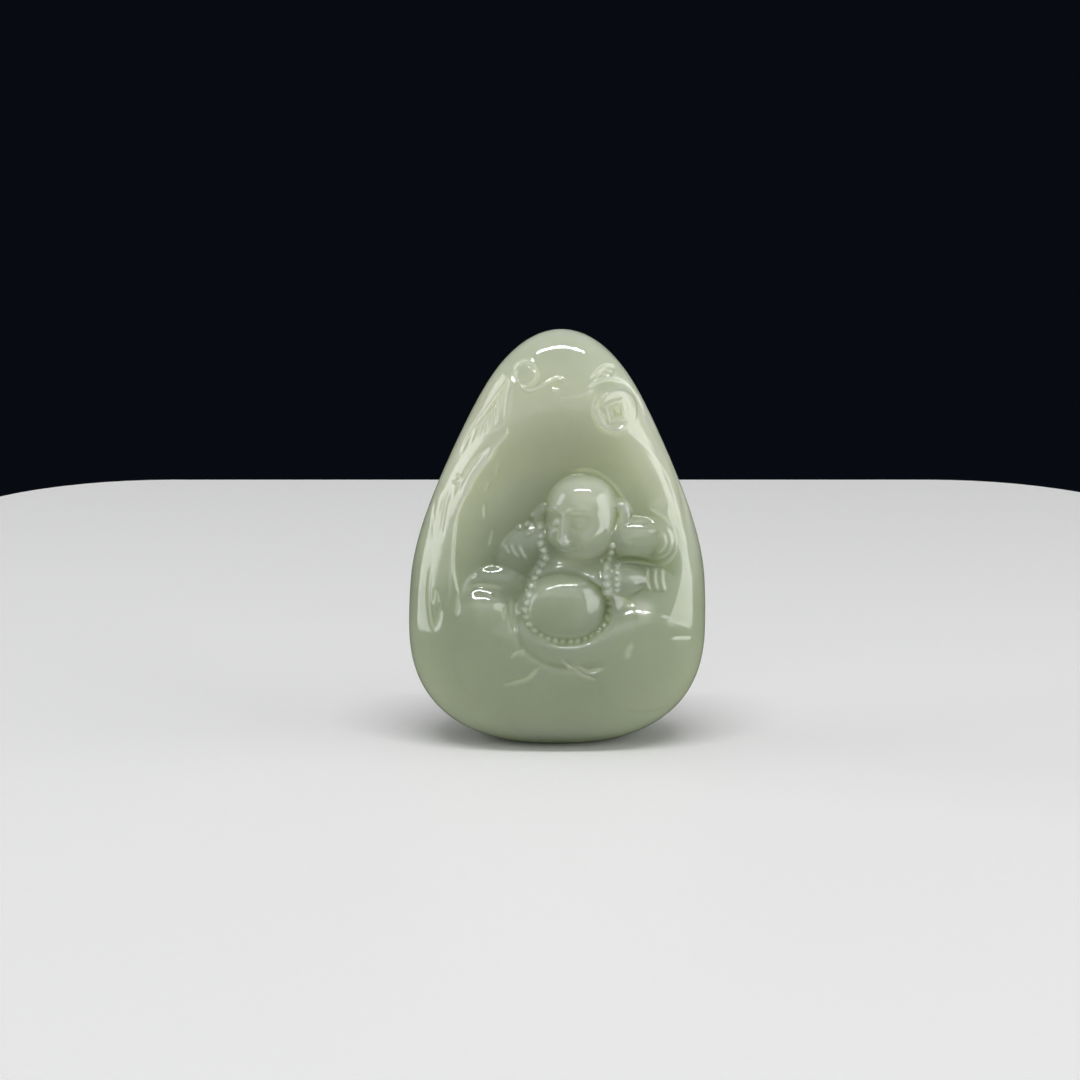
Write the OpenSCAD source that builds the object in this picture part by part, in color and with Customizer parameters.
// Jade figurine: one nephrite pebble, hollowed at the front into a niche in which a seated monk is
// carved in high relief, with a coin, clouds and flowing bands cut into the rim.
// Every region is cut from the same stone, so the regions meet face to face and nothing moves.
// Frame: +Z up, the carved face looks along -Y, origin at the middle of the resting facet.
// "right" and "left" are the monk's own sides: the monk's right is at -X.

/* [Stone] */
// Width of the stone
stone_w = 33; // [30:0.5:38]
// Height of the stone as it stands
stone_h = 46; // [43:0.5:52]
// Thickness of the stone, front to back
stone_t = 17; // [16:0.5:20]
// Height of the widest level, as a share of the height
widest = 0.29; // [0.26:0.01:0.33]
// How much the flanks draw in towards the top
draw_in = 0.15; // [0.08:0.01:0.18]
// How far the top leans towards the monk's left
top_lean = 0.4; // [0:0.1:0.8]

/* [Niche] */
// Distance of the niche's floor in front of the middle plane
niche_floor = 3.2; // [2.6:0.1:4]
// Width of the niche's mouth
niche_w = 26; // [24:0.5:27]
// Height of the niche's mouth
niche_h = 33; // [31:0.5:34]

/* [Figure] */
// Width of the head
head_w = 8.8; // [8:0.1:9.6]
// Turn of the head towards the monk's right
head_turn = 28; // [15:1:35]
// Width of the belly
belly_w = 11.6; // [10.8:0.1:12]

/* [Beads] */
// Diameter of a bead in the long string
bead_d = 1.1; // [1:0.1:1.3]
// Beads in the long string
bead_count = 33; // [30:1:36]
// Diameter of a bead in the short string
small_bead_d = 0.9; // [0.7:0.1:1]
// Beads in the short string
small_bead_count = 4; // [3:1:4]

/* [Rim] */
// Outer diameter of the coin
coin_d = 4.6; // [4:0.1:5]
// Side of the coin's square hole
coin_hole = 1.2; // [0.8:0.1:1.6]
// Width of a raised line in the cloud scroll
scroll_w = 0.8; // [0.6:0.05:1]

/* [Hidden] */

half_w = stone_w / 2;
half_t = stone_t / 2;
widest_z = widest * stone_h;
design_w = 33;                 // width of the stone that the figure's sizes are given for
k = stone_w / design_w;        // size of the figure in this stone
foot_cut = 0.45;               // depth ground off the bottom to make the resting facet
section_power = 2.3;           // squareness of a level section
foot_power = 2.45;             // squareness of the outline below the widest level
thin_power = 2.3;              // squareness of the side view above the widest level
ring_sides = 48;
rings_below = 9;
rings_above = 13;
smooth = 28;
bead_sides = 8;

stone_colour = [0.62, 0.67, 0.53];
figure_colour = [0.66, 0.71, 0.60];
robe_colour = [0.60, 0.66, 0.52];
bead_colour = [0.74, 0.77, 0.66];
rim_colour = [0.70, 0.73, 0.61];

// ---- outline of the stone ----

function ease(low, high, v) =
    let (s = min(max((v - low) / (high - low), 0), 1)) s * s * (3 - 2 * s);

// Share of the full width at share t of the way from the widest level to the top.
function taper_above(t) = sqrt(max(1 - t * t, 0)) * (1 - draw_in * ease(0.15, 0.8, t));

// Share of the full size at share t of the way from the widest level to the bottom.
function taper_below(t) = pow(max(1 - pow(t, foot_power), 0), 1 / foot_power);

// Share of the full thickness at share t of the way up from the widest level.
function thin_above(t) = sqrt(max(1 - pow(t, thin_power), 0));

function share_above(z) = (z - widest_z) / (stone_h - widest_z);
function share_below(z) = (widest_z - z) / (widest_z + foot_cut);

function middle_x(z) = top_lean * max(share_above(z), 0);
function half_width_at(z) =
    half_w * (z > widest_z ? taper_above(share_above(z)) : taper_below(share_below(z)));
function half_depth_at(z) =
    half_t * (z > widest_z ? thin_above(share_above(z)) : taper_below(share_below(z)));

// Depth of the stone's front at (x, z), before carving: negative, towards the front.
function front_y(x, z) =
    let (s = min(abs(x - middle_x(z)) / half_width_at(z), 1))
    -half_depth_at(z) * pow(1 - pow(s, section_power), 1 / section_power);

function level_section(z) = [
    for (i = [0 : ring_sides - 1])
        let (a = 360 * i / ring_sides, c = cos(a), s = sin(a))
        [
            middle_x(z) + half_width_at(z) * sign(c) * pow(abs(c), 2 / section_power),
            half_depth_at(z) * sign(s) * pow(abs(s), 2 / section_power),
            z
        ]
];

// Levels lie closer together where the outline turns fastest.
levels = concat(
    [for (i = [0 : rings_below - 1]) widest_z * (1 - cos(90 * i / rings_below))],
    [for (i = [0 : rings_above]) widest_z + (stone_h - widest_z) * sin(89 * i / rings_above)]
);

module pebble() {
    sections = [for (z = levels) level_section(z)];
    points = [for (s = sections) each s];
    n = ring_sides;
    last = len(levels) - 1;
    walls = [
        for (j = [0 : last - 1], i = [0 : n - 1])
            let (a = j * n + i, b = j * n + (i + 1) % n)
            each [[a, a + n, b + n], [a, b + n, b]]
    ];
    bottom = [[for (i = [0 : n - 1]) i]];
    top = [[for (i = [n - 1 : -1 : 0]) last * n + i]];
    polyhedron(points = points, faces = concat(walls, bottom, top), convexity = 2);
}

// ---- places on the stone ----

// A point at shares of the half width and the height, y millimetres from the middle plane.
function at(x_share, y, z_share) = [x_share * half_w, y, z_share * stone_h];

// A point on the stone's front.
function on_front(x_share, z_share) =
    let (x = x_share * half_w, z = z_share * stone_h) [x, front_y(x, z), z];

module blob(centre, size, turn = [0, 0, 0], sides = smooth) {
    translate(centre) rotate(turn) scale(size / 2 * k) sphere(1, $fn = sides);
}

// A round-ended rod through the points, its radius given at each.
module rod(points, radii, sides = 14) {
    for (i = [0 : len(points) - 2])
        hull() {
            translate(points[i]) sphere(radii[i] * k, $fn = sides);
            translate(points[i + 1]) sphere(radii[i + 1] * k, $fn = sides);
        }
}

// ---- the hollow at the front ----

niche_middle = [0.073 * half_w, -1.12 * half_t, 0.48 * stone_h];
niche_bulge = 1.18;            // size of the hollowing ball against the niche's mouth
niche_tilt = 3.4;              // lean that follows the stone's receding front

module niche() {
    depth = -niche_middle[1] - niche_floor * k;
    translate(niche_middle)
        rotate([-niche_tilt, 0, 0])
            scale([niche_w / 2 * niche_bulge, depth, niche_h / 2 * niche_bulge] * k)
                sphere(1, $fn = 48);
}

// ---- carved shapes, each drawn whole; the trimming below cuts them against each other ----

head_middle = at(0.164, -4.9, 0.568);

module head_shape() {
    translate(head_middle) rotate([0, 6, -head_turn]) {
        blob([0, 0, 0], [head_w, 7.4, 9.4]);
        blob([0, -0.4, -1.6], [head_w * 0.94, 6.8, 6.2]);
        blob([0, -3.5, -0.5], [1.4, 1.3, 2.0], sides = 16);
    }
}

module ear_right_shape() {
    rod([at(-0.10, -4.6, 0.59), at(-0.12, -4.7, 0.56), at(-0.11, -4.8, 0.52)], [0.7, 0.8, 0.6]);
}

module ear_left_shape() {
    rod([at(0.40, -4.2, 0.59), at(0.43, -4.3, 0.55), at(0.45, -4.6, 0.51)], [0.9, 0.85, 0.75]);
}

module chest_shape() {
    blob(at(0.12, -4.0, 0.47), [13.5, 5.0, 9.5]);
}

belly_middle = at(0.094, -4.1, 0.354);
belly_size = [belly_w, 8.0, 11.6];

module belly_shape() {
    blob(belly_middle, belly_size);
}

module arm_right_shape() {
    rod(
        [at(-0.20, -4.4, 0.50), at(-0.34, -4.6, 0.46), at(-0.48, -4.8, 0.42)],
        [2.0, 1.9, 1.5], 20
    );
}

module hand_right_shape() {
    rod([at(-0.40, -6.3, 0.435), at(-0.52, -6.0, 0.425)], [0.9, 0.7]);
}

module knee_right_shape() {
    blob(at(-0.475, -3.9, 0.28), [7.6, 6.8, 11.6], [0, 8, 0]);
}

module arm_left_shape() {
    rod(
        [at(0.46, -3.6, 0.545), at(0.62, -3.9, 0.545), at(0.69, -4.2, 0.50), at(0.42, -5.2, 0.485)],
        [1.5, 1.9, 1.7, 1.3], 20
    );
}

module hand_left_shape() {
    rod([at(0.42, -5.9, 0.485), at(0.34, -6.1, 0.48)], [1.0, 0.8]);
}

module sleeve_left_shape() {
    blob(at(0.54, -4.0, 0.425), [5.4, 5.4, 5.4]);
    rod([at(0.68, -3.9, 0.455), at(0.70, -3.9, 0.40)], [1.1, 0.9]);
}

module knee_left_shape() {
    blob(at(0.56, -3.9, 0.29), [11.5, 6.6, 10], [0, -12, 0]);
}

module foot_left_shape() {
    rod([at(0.47, -6.9, 0.265), at(0.53, -6.9, 0.235)], [1.1, 0.9]);
}

module robe_hem_shape() {
    blob(at(0.09, -4.2, 0.235), [12.6, 5.6, 5.0]);
    rod(
        [at(-0.50, -4.8, 0.19), at(-0.02, -5.6, 0.165), at(0.45, -5.0, 0.19)],
        [2.2, 2.3, 2.2], 20
    );
}

// The long string falls from the neck and lies round the belly.
string_middle = at(0.088, 0, 0.402);
string_size = [9.6, 10.0] * k;
string_from = -245;
string_sweep = 322;

function string_point(share) =
    let (a = string_from + string_sweep * share)
    [
        string_middle[0] + string_size[0] / 2 * cos(a),
        string_middle[2] + string_size[1] / 2 * sin(a)
    ];

// How far the belly reaches at (x, z), so that the beads sit on it.
function belly_y(x, z) =
    let (
        u = (x - belly_middle[0]) / (belly_size[0] / 2 * k),
        v = (z - belly_middle[2]) / (belly_size[2] / 2 * k)
    )
    belly_middle[1] - belly_size[1] / 2 * k * sqrt(max(1 - u * u - v * v, 0.1));

module prayer_beads_shape() {
    for (i = [0 : bead_count - 1]) {
        p = string_point(i / (bead_count - 1));
        translate([p[0], belly_y(p[0], p[1]), p[1]]) sphere(d = bead_d * k, $fn = bead_sides);
    }
}

small_bead_pitch = 0.0195;     // distance from bead to bead, as a share of the stone's height

module hand_beads_shape() {
    for (i = [0 : small_bead_count - 1])
        translate(at(0.395, -6.9, 0.455 - small_bead_pitch * i))
            sphere(d = small_bead_d * k, $fn = bead_sides);
}

// ---- carving on the rim ----

module coin_shape() {
    translate(on_front(0.39, 0.822)) rotate([62, 0, 28])
        difference() {
            cylinder(d = coin_d * k, h = 1.6 * k, center = true, $fn = 32);
            cube([coin_hole, coin_hole, 3] * k, center = true);
        }
}

module coin_ribbon_shape() {
    rod(
        [on_front(0.16, 0.865), on_front(0.30, 0.885), on_front(0.46, 0.87), on_front(0.56, 0.81)],
        [0.4, 0.6, 0.6, 0.5]
    );
    rod([on_front(0.56, 0.81), on_front(0.66, 0.735), on_front(0.74, 0.66)], [0.7, 0.9, 0.5]);
}

// Points of a spiral on the stone's front, winding in about a middle given in shares.
function spiral(middle, start_r, turns, start_a, steps, way = 1) = [
    for (i = [0 : steps])
        let (s = i / steps, r = start_r * k * (1 - 0.75 * s), a = start_a + way * 360 * turns * s)
        on_front(middle[0] + r / half_w * cos(a), middle[1] + r / stone_h * sin(a))
];

module scroll_line(points) {
    rod(points, [for (p = points) scroll_w / 2], 8);
}

module cloud_scroll_shape() {
    scroll_line(spiral([0.0, 0.884], 1.0, 0.9, 170, 7, -1));
    scroll_line([on_front(-0.23, 0.875), on_front(-0.14, 0.872), on_front(-0.06, 0.884)]);
    scroll_line([
        on_front(-0.03, 0.868), on_front(0.03, 0.852), on_front(0.12, 0.852), on_front(0.20, 0.866)
    ]);
}

module cloud_curl_shape() {
    scroll_line(spiral([-0.21, 0.905], 1.2, 0.85, 255, 8));
}

module rim_band_right_shape() {
    rod(
        [
            on_front(-0.31, 0.90), on_front(-0.42, 0.83), on_front(-0.56, 0.74),
            on_front(-0.68, 0.63), on_front(-0.76, 0.52), on_front(-0.80, 0.40), on_front(-0.80, 0.31)
        ],
        [0.9, 1.3, 1.2, 1.2, 1.3, 1.4, 0.6]
    );
}

module rim_band_left_shape() {
    rod(
        [
            on_front(0.74, 0.66), on_front(0.80, 0.58), on_front(0.86, 0.49),
            on_front(0.88, 0.40), on_front(0.87, 0.30)
        ],
        [0.5, 0.7, 0.8, 0.9, 0.5]
    );
}

// ---- trimming ----

// In the niche, an earlier shape in this order keeps its whole form and later ones end against it.
FIGURE_ORDER = [
    "prayer_beads", "hand_beads", "hand_left", "hand_right", "head", "ear_right", "ear_left",
    "belly", "foot_left", "arm_left", "arm_right", "sleeve_left", "knee_right", "knee_left",
    "chest", "robe_hem"
];
RIM_ORDER = ["coin", "coin_ribbon", "cloud_scroll", "cloud_curl", "rim_band_right", "rim_band_left"];

module shape(name) {
    if (name == "head") head_shape();
    if (name == "ear_right") ear_right_shape();
    if (name == "ear_left") ear_left_shape();
    if (name == "chest") chest_shape();
    if (name == "belly") belly_shape();
    if (name == "arm_right") arm_right_shape();
    if (name == "hand_right") hand_right_shape();
    if (name == "knee_right") knee_right_shape();
    if (name == "arm_left") arm_left_shape();
    if (name == "hand_left") hand_left_shape();
    if (name == "sleeve_left") sleeve_left_shape();
    if (name == "knee_left") knee_left_shape();
    if (name == "foot_left") foot_left_shape();
    if (name == "robe_hem") robe_hem_shape();
    if (name == "prayer_beads") prayer_beads_shape();
    if (name == "hand_beads") hand_beads_shape();
    if (name == "coin") coin_shape();
    if (name == "coin_ribbon") coin_ribbon_shape();
    if (name == "cloud_scroll") cloud_scroll_shape();
    if (name == "cloud_curl") cloud_curl_shape();
    if (name == "rim_band_right") rim_band_right_shape();
    if (name == "rim_band_left") rim_band_left_shape();
}

function place_in(order, name) = search([name], order)[0];

// resize() by nothing joins a region's cuts into one closed surface.
module one_surface() {
    resize([0, 0, 0]) children();
}

module figure_region(name) {
    one_surface() difference() {
        intersection() {
            pebble();
            niche();
            shape(name);
        }
        if (place_in(FIGURE_ORDER, name) > 0)
            for (i = [0 : place_in(FIGURE_ORDER, name) - 1]) shape(FIGURE_ORDER[i]);
    }
}

module rim_region(name) {
    one_surface() difference() {
        intersection() {
            shape(name);
            scale([1.02, 1.03, 1.0]) pebble();
        }
        niche();
        if (place_in(RIM_ORDER, name) > 0)
            for (i = [0 : place_in(RIM_ORDER, name) - 1]) shape(RIM_ORDER[i]);
    }
}

module stone_region() {
    one_surface() difference() {
        pebble();
        niche();
        for (name = RIM_ORDER) shape(name);
    }
}

module stone_body() { color(stone_colour) stone_region(); }
module head() { color(figure_colour) figure_region("head"); }
module ear_right() { color(figure_colour) figure_region("ear_right"); }
module ear_left() { color(figure_colour) figure_region("ear_left"); }
module chest() { color(figure_colour) figure_region("chest"); }
module belly() { color(figure_colour) figure_region("belly"); }
module arm_right() { color(robe_colour) figure_region("arm_right"); }
module hand_right() { color(figure_colour) figure_region("hand_right"); }
module knee_right() { color(robe_colour) figure_region("knee_right"); }
module arm_left() { color(robe_colour) figure_region("arm_left"); }
module hand_left() { color(figure_colour) figure_region("hand_left"); }
module sleeve_left() { color(robe_colour) figure_region("sleeve_left"); }
module knee_left() { color(robe_colour) figure_region("knee_left"); }
module foot_left() { color(figure_colour) figure_region("foot_left"); }
module robe_hem() { color(robe_colour) figure_region("robe_hem"); }
module prayer_beads() { color(bead_colour) figure_region("prayer_beads"); }
module hand_beads() { color(bead_colour) figure_region("hand_beads"); }
module coin() { color(rim_colour) rim_region("coin"); }
module coin_ribbon() { color(rim_colour) rim_region("coin_ribbon"); }
module cloud_scroll() { color(rim_colour) rim_region("cloud_scroll"); }
module cloud_curl() { color(rim_colour) rim_region("cloud_curl"); }
module rim_band_right() { color(rim_colour) rim_region("rim_band_right"); }
module rim_band_left() { color(rim_colour) rim_region("rim_band_left"); }

stone_body();
head();
ear_right();
ear_left();
chest();
belly();
arm_right();
hand_right();
knee_right();
arm_left();
hand_left();
sleeve_left();
knee_left();
foot_left();
robe_hem();
prayer_beads();
hand_beads();
coin();
coin_ribbon();
cloud_scroll();
cloud_curl();
rim_band_right();
rim_band_left();
